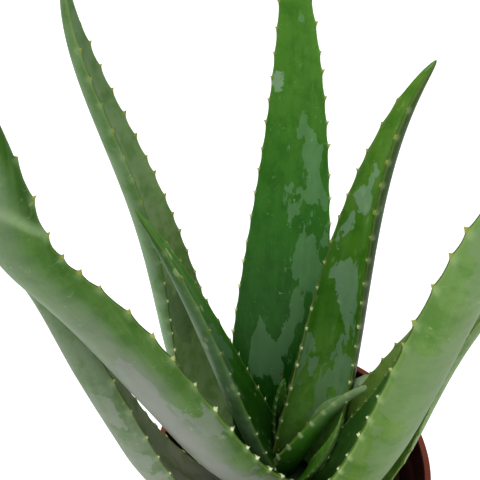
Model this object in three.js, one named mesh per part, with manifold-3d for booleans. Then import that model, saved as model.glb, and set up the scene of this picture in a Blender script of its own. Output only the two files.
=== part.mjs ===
// A potted aloe: a thin plastic nursery pot, potting soil, the short stem and
// twelve fleshy leaves with toothed margins, each a solid of its own.
// Millimetres, +Z up, origin on the pot's axis where its underside stands.

import * as THREE from 'three';
import { mergeVertices } from 'three/addons/utils/BufferGeometryUtils.js';
import Module from 'manifold-3d';

// ---- driving dimensions -------------------------------------------------

const GAP = 0.3; // clearance left wherever two pieces touch

const pot = {
  height: 115,
  rimRadius: 65, // outer edge of the flat lip
  lipWidth: 3.6,
  lipThickness: 1.6,
  collarHeight: 15, // the slightly wider band below the lip
  collarStep: 1.8,
  baseRadius: 45,
  wall: 1.4,
  floor: 2.2,
  padRadius: 20, // flat middle pad that the pot stands on
  footWidth: 7, // flat outer ring that the pot stands on
  channelRise: 2.6, // raised ring between them, with the drain holes
  holeCount: 8,
  holeRadius: 3.5,
  segments: 40,
};

const soil = { top: 88, relief: 1.3, rings: 5 };

const stem = { foot: 66, neckRadius: 9.5, crownRadius: 14, crownHeight: 97, top: 105 };

const tooth = { halfBase: 1.1, lean: 0.6 }; // its tip leans towards the leaf's tip

// Every leaf, from the heart of the rosette outwards. An outer leaf gives way
// to those before it. heading, lean and roll are degrees read at equal steps
// from the leaf's base to its tip: heading is counted from +X towards +Y, lean
// from upright, and roll turns the leaf about its own midline. curl is half the
// angle that the channelled upper face bends through, at the base and the tip.
// foot is the radius and height where the leaf starts, with its own heading if
// that differs, and teeth are their spacing and height.
const leaves = {
  leaf_heart: {
    heading: [137, 125, 118], lean: [29, 4, -9], roll: [10, 8, 0], curl: [57, 49],
    length: 61, width: 12.5, taper: 0.74, flesh: 5, foot: [7, 107, 92], teeth: [6, 0.5],
  },
  leaf_heart_cut: {
    heading: [11, 29, -12.5], lean: [23, 37, 55.5], roll: [70, 56, 13], curl: [52, 31],
    length: 71, width: 16.5, taper: 0.67, flesh: 6.5, foot: [5, 106.5, 162], teeth: [7.8, 0.7],
    cutTip: 0.25,
  },
  leaf_heart_small: {
    heading: [-57.5, -24, -15], lean: [20, 13, 2.5], roll: [-17, -10, 21], curl: [8, 19],
    length: 73, width: 13, taper: 0.79, flesh: 4, foot: [7, 110.5, -58], teeth: [6, 0.5],
  },
  leaf_left_inner: {
    heading: [169.5, 159, 159.5, 167], lean: [22, 19, 20, 29.5], roll: [-14, -22, -27, -21], curl: [32, 44],
    length: 163, width: 35.5, taper: 0.75, flesh: 7.5, foot: [6, 109, 168], teeth: [12.5, 0.95],
  },
  leaf_right_back: {
    heading: [54.5, 64.5, 60.5, 32], lean: [21, 20.5, 22, 47], roll: [-16, -6, 21, 22], curl: [73, 48],
    length: 200, width: 36.5, taper: 0.63, flesh: 9.5, foot: [7, 107], teeth: [10.3, 1],
  },
  leaf_back_tall: {
    heading: [106.5, 84, 89, 98.5], lean: [24, 39, 43, 46], roll: [0, 0, -1, 0], curl: [8, 14],
    length: 254, width: 56, taper: 0.75, flesh: 12, foot: [13, 106, 99], teeth: [10.9, 1.1],
  },
  leaf_left_front: {
    heading: [213, 205, 188.5, 167, 238, 248], lean: [18.5, 25, 21.5, 32.5, 11.5, -26],
    roll: [-14, -23, -38, -65, -4, -20], curl: [26, 44],
    length: 251, width: 56, taper: 0.51, flesh: 10.5, foot: [11.5, 106.5, 218], teeth: [12.7, 1.6],
  },
  leaf_right_front: {
    heading: [307.5, 325.5, 326, 322], lean: [30.5, 10, 8.5, 17], roll: [-11, -7, 7, 17], curl: [36, 50],
    length: 285, width: 53.5, taper: 0.75, flesh: 14, foot: [11, 107, 312], teeth: [13, 1.3],
  },
  leaf_left_back: {
    heading: [158.5, 137, 154.5, 164, 162], lean: [60, 21.5, 10, 15.5, -9], roll: [2, 10, 1, -5, -9],
    curl: [63, 68],
    length: 254, width: 34.5, taper: 0.58, flesh: 8, foot: [14, 103], teeth: [10.2, 1],
  },
  leaf_right_outer: {
    heading: [-4.5, 7.5, 4.5, 0.5], lean: [43.5, 15.5, 20.5, 37.5], roll: [-33, -27, -7, 8], curl: [15, 45],
    length: 189, width: 45.5, taper: 0.65, flesh: 11, foot: [14, 100, -2], teeth: [11.5, 1],
  },
  leaf_left_outer: {
    heading: [219.5, 182.5, 180, 142, 199], lean: [58, 38, 15, 31, 23.5], roll: [-37, -31, -23, -70, -33],
    curl: [15, 54],
    length: 193, width: 44, taper: 0.53, flesh: 11, foot: [14, 100, 224], teeth: [13, 1.1],
  },
  leaf_front_outer: {
    heading: [281, 281, 278], lean: [56, 44, 50], roll: [0, 0, 0], curl: [45, 38],
    length: 215, width: 44, taper: 0.72, flesh: 11, foot: [15, 100], teeth: [11, 1],
  },
};

const baseNarrowing = 0.85; // a leaf's width where it leaves the stem, against its widest
const baseLength = 0.15; // the share of the leaf over which it reaches full width
const sideRoundness = 0.6; // how blunt the fleshy underside is next to the margins
const fleshTaper = 0.7; // how the thickness follows the width towards the tip
const spineSteps = 60;
const bodyRings = 15; // section rings along a leaf, closer together at its tip
const tipRing = 0.975; // the last ring, before all lines meet in the tip

const colour = { leaf: 0x2f6420, youngLeaf: 0x4a7f38, pot: 0x7d3f33, soil: 0x2a1e17, stem: 0x7f8c4a };

// ---- solids and meshes ---------------------------------------------------

const wasm = await Module();
wasm.setup();

// The closed triangle mesh of a geometry, without the flat ones at a pole.
function toSolid(geometry) {
  const bare = geometry.clone();
  bare.deleteAttribute('normal');
  bare.deleteAttribute('uv');
  const merged = mergeVertices(bare, 1e-4);
  const index = merged.index.array;
  const triangles = [];
  for (let i = 0; i < index.length; i += 3) {
    const [a, b, c] = [index[i], index[i + 1], index[i + 2]];
    if (a !== b && b !== c && c !== a) triangles.push(a, b, c);
  }
  const vertProperties = Float32Array.from(merged.attributes.position.array);
  const mesh = new wasm.Mesh({ numProp: 3, vertProperties, triVerts: Uint32Array.from(triangles) });
  return new wasm.Manifold(mesh);
}

function toGeometry(solid) {
  const mesh = solid.getMesh();
  const geometry = new THREE.BufferGeometry();
  geometry.setAttribute('position', new THREE.BufferAttribute(Float32Array.from(mesh.vertProperties), 3));
  geometry.setIndex(Array.from(mesh.triVerts));
  return geometry;
}

// The biggest of the bodies that a cut leaves.
function biggestBody(solid) {
  return solid.decompose().reduce((best, body) => (body.volume() > best.volume() ? body : best));
}

// A turned body about the Z axis, from [radius, height] points.
function turned(profile, segments = pot.segments) {
  const points = profile.map(([radius, height]) => new THREE.Vector2(radius, height));
  return new THREE.LatheGeometry(points, segments).rotateX(Math.PI / 2);
}

function named(name, geometry, color, roughness) {
  geometry.computeVertexNormals();
  const material = new THREE.MeshStandardMaterial({ color, roughness, metalness: 0 });
  const mesh = new THREE.Mesh(geometry, material);
  mesh.name = name;
  return mesh;
}

// ---- pot, soil and stem -----------------------------------------------------

// Inner radius of the pot's tapered wall at a height.
function innerRadius(height) {
  const collarFoot = pot.height - pot.collarHeight;
  const topRadius = pot.rimRadius - pot.lipWidth - pot.collarStep;
  const share = (height - pot.floor) / (collarFoot - pot.floor);
  return THREE.MathUtils.lerp(pot.baseRadius, topRadius, share) - pot.wall;
}

function makePot() {
  const lipInner = pot.rimRadius - pot.lipWidth;
  const collarFoot = pot.height - pot.collarHeight;
  const wallTop = lipInner - pot.collarStep;
  const footInner = pot.baseRadius - pot.footWidth;
  const channelInner = pot.padRadius + pot.channelRise;
  const lipUnder = pot.height - pot.lipThickness;
  const profile = [
    [0, 0],
    [pot.padRadius, 0],
    [channelInner, pot.channelRise],
    [footInner - pot.channelRise, pot.channelRise],
    [footInner, 0],
    [pot.baseRadius - 1, 0],
    [pot.baseRadius, 1],
    [wallTop, collarFoot - 1.5],
    [lipInner + 0.2, collarFoot],
    [lipInner + 0.8, lipUnder - 0.8],
    [lipInner + 1.8, lipUnder],
    [pot.rimRadius - 0.3, lipUnder],
    [pot.rimRadius, lipUnder + 0.4],
    [pot.rimRadius, pot.height - 0.5],
    [pot.rimRadius - 0.5, pot.height],
    [lipInner + 0.4, pot.height],
    [lipInner, pot.height - 0.5],
    [lipInner - 1.1, collarFoot + 0.6],
    [innerRadius(collarFoot - 1.5), collarFoot - 1.5],
    [innerRadius(pot.floor + 2), pot.floor + 2],
    [footInner - 0.5, pot.floor],
    [footInner - pot.channelRise, pot.channelRise + pot.floor],
    [channelInner, pot.channelRise + pot.floor],
    [pot.padRadius, pot.floor],
    [0, pot.floor],
  ];
  let solid = toSolid(turned(profile));
  const holeCircle = (channelInner + footInner - pot.channelRise) / 2;
  for (let i = 0; i < pot.holeCount; i++) {
    const angle = (2 * Math.PI * i) / pot.holeCount;
    const drill = new THREE.CylinderGeometry(pot.holeRadius, pot.holeRadius, 20, 12).rotateX(Math.PI / 2);
    drill.translate(holeCircle * Math.cos(angle), holeCircle * Math.sin(angle), 0);
    solid = solid.subtract(toSolid(drill));
  }
  return toGeometry(solid);
}

// Height of the loose soil above or below its mean level.
function soilRelief(x, y) {
  const coarse = Math.sin(0.21 * x + 1.3) * Math.cos(0.17 * y - 0.4);
  const fine = Math.sin(0.62 * x - 0.5 * y) * Math.cos(0.55 * y + 0.31 * x + 2);
  return soil.relief * (0.55 * coarse + 0.45 * fine);
}

// The soil fills the pot to a hole that the stem stands in.
function makeSoil() {
  const bore = stem.neckRadius + GAP;
  const bed = pot.channelRise + pot.floor + GAP;
  const wallRadius = innerRadius(soil.top) - GAP - 0.2;
  const profile = [[0, bed], [innerRadius(bed) - GAP - 0.4, bed], [wallRadius, soil.top]];
  for (let ring = 1; ring < soil.rings; ring++) {
    profile.push([THREE.MathUtils.lerp(wallRadius, bore, ring / soil.rings), soil.top]);
  }
  profile.push([bore, soil.top], [bore, stem.foot - GAP], [0, stem.foot - GAP]);
  const geometry = turned(profile);
  const position = geometry.attributes.position;
  for (let i = 0; i < position.count; i++) {
    if (position.getZ(i) < soil.top - 1) continue;
    position.setZ(i, soil.top + soilRelief(position.getX(i), position.getY(i)));
  }
  return geometry;
}

// The stem's short crown, which the leaf bases clasp. grow makes it fatter.
function stemProfile(grow) {
  return [
    [0, stem.foot - grow],
    [stem.neckRadius + grow, stem.foot - grow],
    [stem.neckRadius + grow, soil.top + 3],
    [stem.crownRadius + grow, stem.crownHeight - 3],
    [stem.crownRadius + grow, stem.crownHeight],
    [stem.crownRadius * 0.84 + grow, stem.crownHeight + 4],
    [stem.crownRadius * 0.5 + grow, stem.top - 1.5],
    [0, stem.top + grow],
  ];
}

// ---- leaves -------------------------------------------------------------------

// The smooth curve through equally spaced values, read at u from 0 to 1.
function along(values, u) {
  const last = values.length - 1;
  return values.reduce((sum, value, i) => {
    let weight = 1;
    for (let j = 0; j <= last; j++) if (j !== i) weight *= (u * last - j) / (i - j);
    return sum + weight * value;
  }, 0);
}

const radians = THREE.MathUtils.degToRad;

// The leaf's directions at u: along it, out to its side, and up from its upper face.
function directions(leaf, u) {
  const heading = radians(along(leaf.heading, u));
  const lean = radians(along(leaf.lean, u));
  const roll = radians(along(leaf.roll, u));
  const [c, s] = [Math.cos(heading), Math.sin(heading)];
  const forward = new THREE.Vector3(Math.sin(lean) * c, Math.sin(lean) * s, Math.cos(lean));
  const flatUp = new THREE.Vector3(-Math.cos(lean) * c, -Math.cos(lean) * s, Math.sin(lean));
  const flatSide = new THREE.Vector3(s, -c, 0);
  const side = flatSide.clone().multiplyScalar(Math.cos(roll)).addScaledVector(flatUp, Math.sin(roll));
  const up = flatUp.multiplyScalar(Math.cos(roll)).addScaledVector(flatSide, -Math.sin(roll));
  return { forward, side, up };
}

// The leaf's midline, walked in short steps from its foot on the stem.
function walkSpine(leaf) {
  const [radius, height, footHeading = leaf.heading[0]] = leaf.foot;
  const heading = radians(footHeading);
  const point = new THREE.Vector3(radius * Math.cos(heading), radius * Math.sin(heading), height);
  const points = [point.clone()];
  for (let i = 0; i < spineSteps; i++) {
    const { forward } = directions(leaf, (i + 0.5) / spineSteps);
    points.push(point.addScaledVector(forward, leaf.length / spineSteps).clone());
  }
  return points;
}

function halfWidth(leaf, u) {
  const reach = u * (1 - (leaf.cutTip ?? 0));
  const opening = THREE.MathUtils.smoothstep(reach, 0, baseLength);
  return (leaf.width / 2) * (1 - reach) ** leaf.taper * THREE.MathUtils.lerp(baseNarrowing, 1, opening);
}

// A leaf's section at u, as a function from v, -1 at the left margin to 1 at
// the right one, to a point on the upper face, on the underside, or standing
// out from the margin by the height of a tooth. grow makes the leaf bigger.
function sectionAt(leaf, spine, u, grow) {
  const { forward, side, up } = directions(leaf, u);
  const step = Math.min(Math.floor(u * spineSteps), spineSteps - 1);
  const middle = spine[step].clone().lerp(spine[step + 1], u * spineSteps - step);
  if (u === 0) middle.addScaledVector(forward, -grow);
  if (u === tipRing) middle.addScaledVector(forward, grow);
  const curl = radians(along(leaf.curl, u));
  const bend = (halfWidth(leaf, u) + grow) / curl;
  const depth = leaf.flesh * (halfWidth(leaf, u) / (leaf.width / 2)) ** fleshTaper;
  return (v, place, toothHeight = 0) => {
    const [c, s] = [Math.cos(curl * v), Math.sin(curl * v)];
    const across = side.clone().multiplyScalar(c).addScaledVector(up, s);
    const outward = up.clone().multiplyScalar(c).addScaledVector(side, -s);
    const point = middle.clone().addScaledVector(side, bend * s).addScaledVector(up, bend * (1 - c));
    if (place === 'under') {
      return point.addScaledVector(outward, -grow - depth * (1 - v * v) ** sideRoundness);
    }
    point.addScaledVector(outward, 1.5 * grow);
    if (place === 'upper') return point;
    point.addScaledVector(across, v * (toothHeight + grow));
    return point.addScaledVector(forward, toothHeight * tooth.lean);
  };
}

// Where a margin's points lie along the leaf: three for each tooth. The lines
// beside the margin take only the two at the tooth's foot. spread is how far
// the tooth's sides move apart when the leaf grows.
function toothStations(leaf, grow, beside) {
  const [pitch, height] = leaf.teeth;
  const spread = beside ? 0 : (1.5 * grow) / leaf.length;
  const stations = [{ u: 0, spread: 0, height: 0 }];
  for (let place = pitch * 1.4; place < leaf.length * 0.93; place += pitch) {
    const size = Math.min(1, halfWidth(leaf, place / leaf.length) / 5);
    const reach = tooth.halfBase * size * Math.min(1, height);
    stations.push({ u: (place - reach) / leaf.length, spread: -spread, height: 0 });
    if (!beside) stations.push({ u: place / leaf.length, spread: 0, height: height * size + grow });
    stations.push({ u: (place + reach) / leaf.length, spread, height: 0 });
  }
  stations.push({ u: tipRing, spread: 0, height: 0 });
  return stations;
}

function ringStations() {
  return Array.from({ length: bodyRings }, (_, i) => {
    return { u: (tipRing * i) / (bodyRings - 1), spread: 0, height: 0 };
  });
}

// Lines of points run from a leaf's foot to its tip, in this order round it:
// the upper face from the left margin to the right one, then the underside.
const upperLines = [-1, -0.95, -0.5, 0, 0.5, 0.95, 1];
const underLines = [0.95, 0.72, 0.25, -0.25, -0.72, -0.95];
const besideMargin = 0.95;

// Joins two lines of points, which may differ in number, by triangles.
function stitch(left, right, by, triangles) {
  let i = 0;
  let j = 0;
  while (i < left.length - 1 || j < right.length - 1) {
    const middleLeft = left[i + 1] ? left[i][by] + left[i + 1][by] : Infinity;
    const middleRight = right[j + 1] ? right[j][by] + right[j + 1][by] : Infinity;
    const third = middleLeft <= middleRight ? left[i + 1] : right[j + 1];
    const corners = [left[i].index, right[j].index, third.index];
    if (new Set(corners).size === 3) triangles.push(...corners);
    if (middleLeft <= middleRight) i += 1;
    else j += 1;
  }
}

// A leaf's closed solid. grow makes it bigger all round, for cutting others.
function leafSolid(leaf, grow) {
  const spine = walkSpine(leaf);
  const vertices = [];
  const addVertex = (point) => vertices.push(...point.toArray()) / 3 - 1;
  const makeLine = (v, face) => {
    const place = Math.abs(v) === 1 ? 'margin' : face;
    const toothed = Math.abs(v) >= besideMargin;
    const stations = toothed ? toothStations(leaf, grow, place !== 'margin') : ringStations();
    return stations.map(({ u, spread, height }) => {
      return { u, v, index: addVertex(sectionAt(leaf, spine, u + spread, grow)(v, place, height)) };
    });
  };
  const upper = upperLines.map((v) => makeLine(v, 'upper'));
  const under = underLines.map((v) => makeLine(v, 'under'));
  const round = [...upper, ...under];
  const triangles = [];
  round.forEach((line, i) => stitch(line, round[(i + 1) % round.length], 'u', triangles));
  const upperEnd = (at) => upper.map((line) => line.at(at));
  const underEnd = (at) => [upper[0], ...under.toReversed(), upper.at(-1)].map((line) => line.at(at));
  stitch(upperEnd(0), underEnd(0), 'v', triangles);
  if (leaf.cutTip) {
    stitch(underEnd(-1), upperEnd(-1), 'v', triangles);
  } else {
    const { forward } = directions(leaf, 1);
    const tip = addVertex(spine[spineSteps].clone().addScaledVector(forward, 2 * grow));
    round.forEach((line, i) => {
      triangles.push(tip, line.at(-1).index, round[(i + 1) % round.length].at(-1).index);
    });
  }
  const vertProperties = Float32Array.from(vertices);
  const mesh = new wasm.Mesh({ numProp: 3, vertProperties, triVerts: Uint32Array.from(triangles) });
  return new wasm.Manifold(mesh);
}

// ---- the plant --------------------------------------------------------------------

const plant = new THREE.Group();
plant.add(named('pot', makePot(), colour.pot, 0.55));
plant.add(named('soil', makeSoil(), colour.soil, 0.95));
plant.add(named('stem', turned(stemProfile(0), 32), colour.stem, 0.7));

let taken = toSolid(turned(stemProfile(GAP), 32));
for (const [name, leaf] of Object.entries(leaves)) {
  const solid = biggestBody(leafSolid(leaf, 0).subtract(taken));
  const young = leaf.length < 100;
  plant.add(named(name, toGeometry(solid), young ? colour.youngLeaf : colour.leaf, 0.45));
  taken = taken.add(leafSolid(leaf, GAP));
}

export default plant;
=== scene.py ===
import math

import bpy
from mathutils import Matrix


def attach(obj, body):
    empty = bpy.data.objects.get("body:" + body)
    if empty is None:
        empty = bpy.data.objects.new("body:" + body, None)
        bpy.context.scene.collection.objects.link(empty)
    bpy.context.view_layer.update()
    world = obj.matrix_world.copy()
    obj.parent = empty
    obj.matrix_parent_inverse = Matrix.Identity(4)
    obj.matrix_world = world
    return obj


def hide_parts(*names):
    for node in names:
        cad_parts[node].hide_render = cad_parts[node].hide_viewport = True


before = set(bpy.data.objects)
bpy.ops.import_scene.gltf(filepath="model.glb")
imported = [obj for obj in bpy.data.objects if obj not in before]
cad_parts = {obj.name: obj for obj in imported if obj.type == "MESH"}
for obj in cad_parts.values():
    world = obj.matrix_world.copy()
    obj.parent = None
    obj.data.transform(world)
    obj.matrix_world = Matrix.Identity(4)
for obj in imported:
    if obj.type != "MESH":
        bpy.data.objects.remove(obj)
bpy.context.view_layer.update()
print("frame loaded:", len(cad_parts), "nodes")

mm = 0.001


# The method behind one of Python's operators, which makes a maths node.
def operator(operation, swapped=False):
    def apply(self, other):
        first, second = (other, self) if swapped else (self, other)
        return self.join(operation, first, second)
    return apply


# A socket that Python's own operators work on, and the tree it belongs to.
class Wire:
    def __init__(self, tree, socket):
        self.tree = tree
        self.socket = socket
        self.isVector = socket.type in ("VECTOR", "RGBA")

    def join(self, operation, first, second):
        vector = [isinstance(x, tuple) or getattr(x, "isVector", False) for x in (first, second)]
        if operation == "MULTIPLY" and any(vector) and not all(vector):
            arrow, size = (first, second) if vector[0] else (second, first)
            return self.tree.node("ShaderNodeVectorMath", {"operation": "SCALE"}, {0: arrow, 3: size})
        kind = "ShaderNodeVectorMath" if any(vector) else "ShaderNodeMath"
        return self.tree.node(kind, {"operation": operation}, {0: first, 1: second})

    __add__ = operator("ADD")
    __sub__ = operator("SUBTRACT")
    __mul__ = operator("MULTIPLY")
    __truediv__ = operator("DIVIDE")
    __pow__ = operator("POWER")
    __gt__ = operator("GREATER_THAN")
    __lt__ = operator("LESS_THAN")
    __radd__ = operator("ADD", swapped=True)
    __rsub__ = operator("SUBTRACT", swapped=True)
    __rmul__ = operator("MULTIPLY", swapped=True)

    def __neg__(self):
        return self * -1

    def __abs__(self):
        return self.of("ABSOLUTE")

    def of(self, operation, *others):
        values = dict(enumerate((self, *others)))
        return self.tree.node("ShaderNodeMath", {"operation": operation}, values)

    # 0 below low, 1 above high, and smooth between them.
    def rise(self, low, high, start=0.0, end=1.0):
        values = {"Value": self, "From Min": low, "From Max": high, "To Min": start, "To Max": end}
        return self.tree.node("ShaderNodeMapRange", {"interpolation_type": "SMOOTHSTEP"}, values)

    def other(self, name):
        node = self.socket.node
        return Wire(self.tree, pick(node.outputs, name))

    def parts(self):
        split = self.tree.node("ShaderNodeSeparateXYZ", {}, {"Vector": self})
        return split, split.other("Y"), split.other("Z")


def pick(sockets, key):
    if isinstance(key, int):
        return sockets[key]
    return next(s for s in sockets if s.name == key and s.enabled)


def setStops(ramp, stops):
    for i, (place, colour) in enumerate(stops):
        stop = ramp.elements[i] if i < 2 else ramp.elements.new(place)
        stop.position = place
        stop.color = colour


# A node tree, for a shader or for geometry, that is filled one node at a time.
class Tree:
    def __init__(self, tree):
        self.tree = tree

    def node(self, kind, settings=None, values=None, out=None):
        made = self.tree.nodes.new(kind)
        for name, value in (settings or {}).items():
            if name == "stops":
                setStops(made.color_ramp, value)
            else:
                setattr(made, name, value)
        for key, value in (values or {}).items():
            for item in value if isinstance(value, list) else [value]:
                self.feed(pick(made.inputs, key), item)
        if not made.outputs:
            return None
        first = next(s for s in made.outputs if s.enabled)
        return Wire(self, first if out is None else pick(made.outputs, out))

    def feed(self, socket, value):
        if isinstance(value, Wire):
            self.tree.links.new(value.socket, socket)
        else:
            socket.default_value = value

    def xyz(self, x=0.0, y=0.0, z=0.0):
        return self.node("ShaderNodeCombineXYZ", {}, {"X": x, "Y": y, "Z": z})

    def mix(self, factor, first, second):
        values = {"Factor": factor, "A": first, "B": second}
        return self.node("ShaderNodeMix", {"data_type": "FLOAT"}, values)

    def blend(self, factor, first, second, how="MIX"):
        settings = {"data_type": "RGBA", "blend_type": how}
        return self.node("ShaderNodeMix", settings, {"Factor": factor, "A": first, "B": second})

    def noise(self, place, scale, detail=2.0, roughness=0.5, colour=False):
        values = {"Vector": place, "Scale": scale, "Detail": detail, "Roughness": roughness}
        return self.node("ShaderNodeTexNoise", {}, values, "Color" if colour else None)

    def cells(self, place, scale):
        return self.node("ShaderNodeTexVoronoi", {}, {"Vector": place, "Scale": scale})

    # A random number, or a vector where low and high are tuples, for each element or each id.
    def random(self, low, high, seed, **own):
        kind = "FLOAT_VECTOR" if isinstance(low, tuple) else "FLOAT"
        values = {"Min": low, "Max": high, "Seed": seed, **own}
        return self.node("FunctionNodeRandomValue", {"data_type": kind}, values)

    def attribute(self, name, vector=False):
        return self.node("ShaderNodeAttribute", {"attribute_name": name}, out="Vector" if vector else "Fac")

    def output(self, **values):
        named = {key.replace("_", " "): value for key, value in values.items()}
        shader = self.node("ShaderNodeBsdfPrincipled", {}, named)
        self.node("ShaderNodeOutputMaterial", {}, {"Surface": shader})


# A colour as it looks on a screen, from 0 to 255.
def rgb(red, green, blue):
    def linear(x):
        x /= 255
        return x / 12.92 if x <= 0.04045 else ((x + 0.055) / 1.055) ** 2.4
    return (linear(red), linear(green), linear(blue), 1.0)


def scaled(colour, share):
    return tuple(part * share for part in colour)


def newMaterial(name):
    made = bpy.data.materials.new(name)
    made.use_nodes = True
    made.node_tree.nodes.clear()
    return made, Tree(made.node_tree)


# A geometry tree with named inputs, given as name: (socket type, starting value).
def newGeometryTree(name, inputs):
    group = bpy.data.node_groups.new(name, "GeometryNodeTree")
    group.interface.new_socket("Geometry", in_out="OUTPUT", socket_type="NodeSocketGeometry")
    for label, (kind, value) in inputs.items():
        socket = group.interface.new_socket(label, in_out="INPUT", socket_type="NodeSocket" + kind)
        if value is not None:
            socket.default_value = value
    tree = Tree(group)
    source = group.nodes.new("NodeGroupInput")
    return group, tree, {label: Wire(tree, source.outputs[label]) for label in inputs}


# Runs a geometry tree with its inputs set, and keeps the result as a plain mesh.
def grow(name, group, values):
    obj = bpy.data.objects.new(name, bpy.data.meshes.new(name))
    bpy.context.scene.collection.objects.link(obj)
    modifier = obj.modifiers.new("grow", "NODES")
    modifier.node_group = group
    for item in group.interface.items_tree:
        if item.in_out == "INPUT" and item.name in values:
            modifier[item.identifier] = values[item.name]
    bpy.context.view_layer.update()
    grown = bpy.data.meshes.new_from_object(obj.evaluated_get(bpy.context.evaluated_depsgraph_get()))
    obj.modifiers.remove(modifier)
    obj.data = grown
    grown.name = name
    grown.materials.clear()
    grown.materials.append(values["Material"])
    return obj


# The camera stands as the photograph's did: place in metres, lens in millimetres.
view = {
    "place": (-0.0242, -0.1832, 0.4599),
    "lookDown": 46.6,
    "lens": 60.0,
    "sensor": 36.0,
}
light = {
    "sky": 0.62,
    "skyColour": (0.97, 0.98, 1.0),
    "aim": (0, 0, 0.2),
    "softBoxes": {
        "softBoxTop": dict(place=(-0.25, 0.15, 1.1), size=(0.9, 0.7), power=4.6),
        "softBoxFront": dict(place=(0.1, -1.1, 0.55), size=(0.8, 0.6), power=2.3),
    },
    "floorReach": 20.0,
    "floorColour": rgb(250, 250, 250),
    "floorGlow": 0.55,
}


def makeCamera():
    data = bpy.data.cameras.new("camera")
    data.lens = view["lens"]
    data.sensor_width = view["sensor"]
    data.clip_start = 0.01
    camera = bpy.data.objects.new("camera", data)
    bpy.context.scene.collection.objects.link(camera)
    camera.location = view["place"]
    camera.rotation_euler = (math.radians(90 - view["lookDown"]), 0, 0)
    bpy.context.scene.camera = camera


def makeSoftBox(name, place, size, power):
    data = bpy.data.lights.new(name, "AREA")
    data.shape = "RECTANGLE"
    data.size, data.size_y = size
    data.energy = power
    box = bpy.data.objects.new(name, data)
    bpy.context.scene.collection.objects.link(box)
    box.location = place
    x, y, z = [b - a for a, b in zip(place, light["aim"])]
    box.rotation_euler = (math.atan2(math.hypot(x, y), -z), 0, math.atan2(-x, y))


def makeLight():
    scene = bpy.context.scene
    scene.view_settings.view_transform = "Standard"
    world = bpy.data.worlds.new("studio")
    scene.world = world
    world.use_nodes = True
    background = world.node_tree.nodes["Background"]
    background.inputs["Color"].default_value = (*light["skyColour"], 1.0)
    background.inputs["Strength"].default_value = light["sky"]
    for name, box in light["softBoxes"].items():
        makeSoftBox(name, **box)


def makeFloor():
    far = light["floorReach"]
    mesh = bpy.data.meshes.new("floor")
    mesh.from_pydata([(-far, -far, 0), (far, -far, 0), (far, far, 0), (-far, far, 0)], [], [(0, 1, 2, 3)])
    floor = bpy.data.objects.new("floor", mesh)
    bpy.context.scene.collection.objects.link(floor)
    material, tree = newMaterial("floorPaper")
    tree.output(Base_Color=light["floorColour"], Roughness=0.9, Specular_IOR_Level=0.1,
                Emission_Color=(1, 1, 1, 1), Emission_Strength=light["floorGlow"])
    mesh.materials.append(material)


makeCamera()
makeLight()
makeFloor()
print("stage set")


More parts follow.
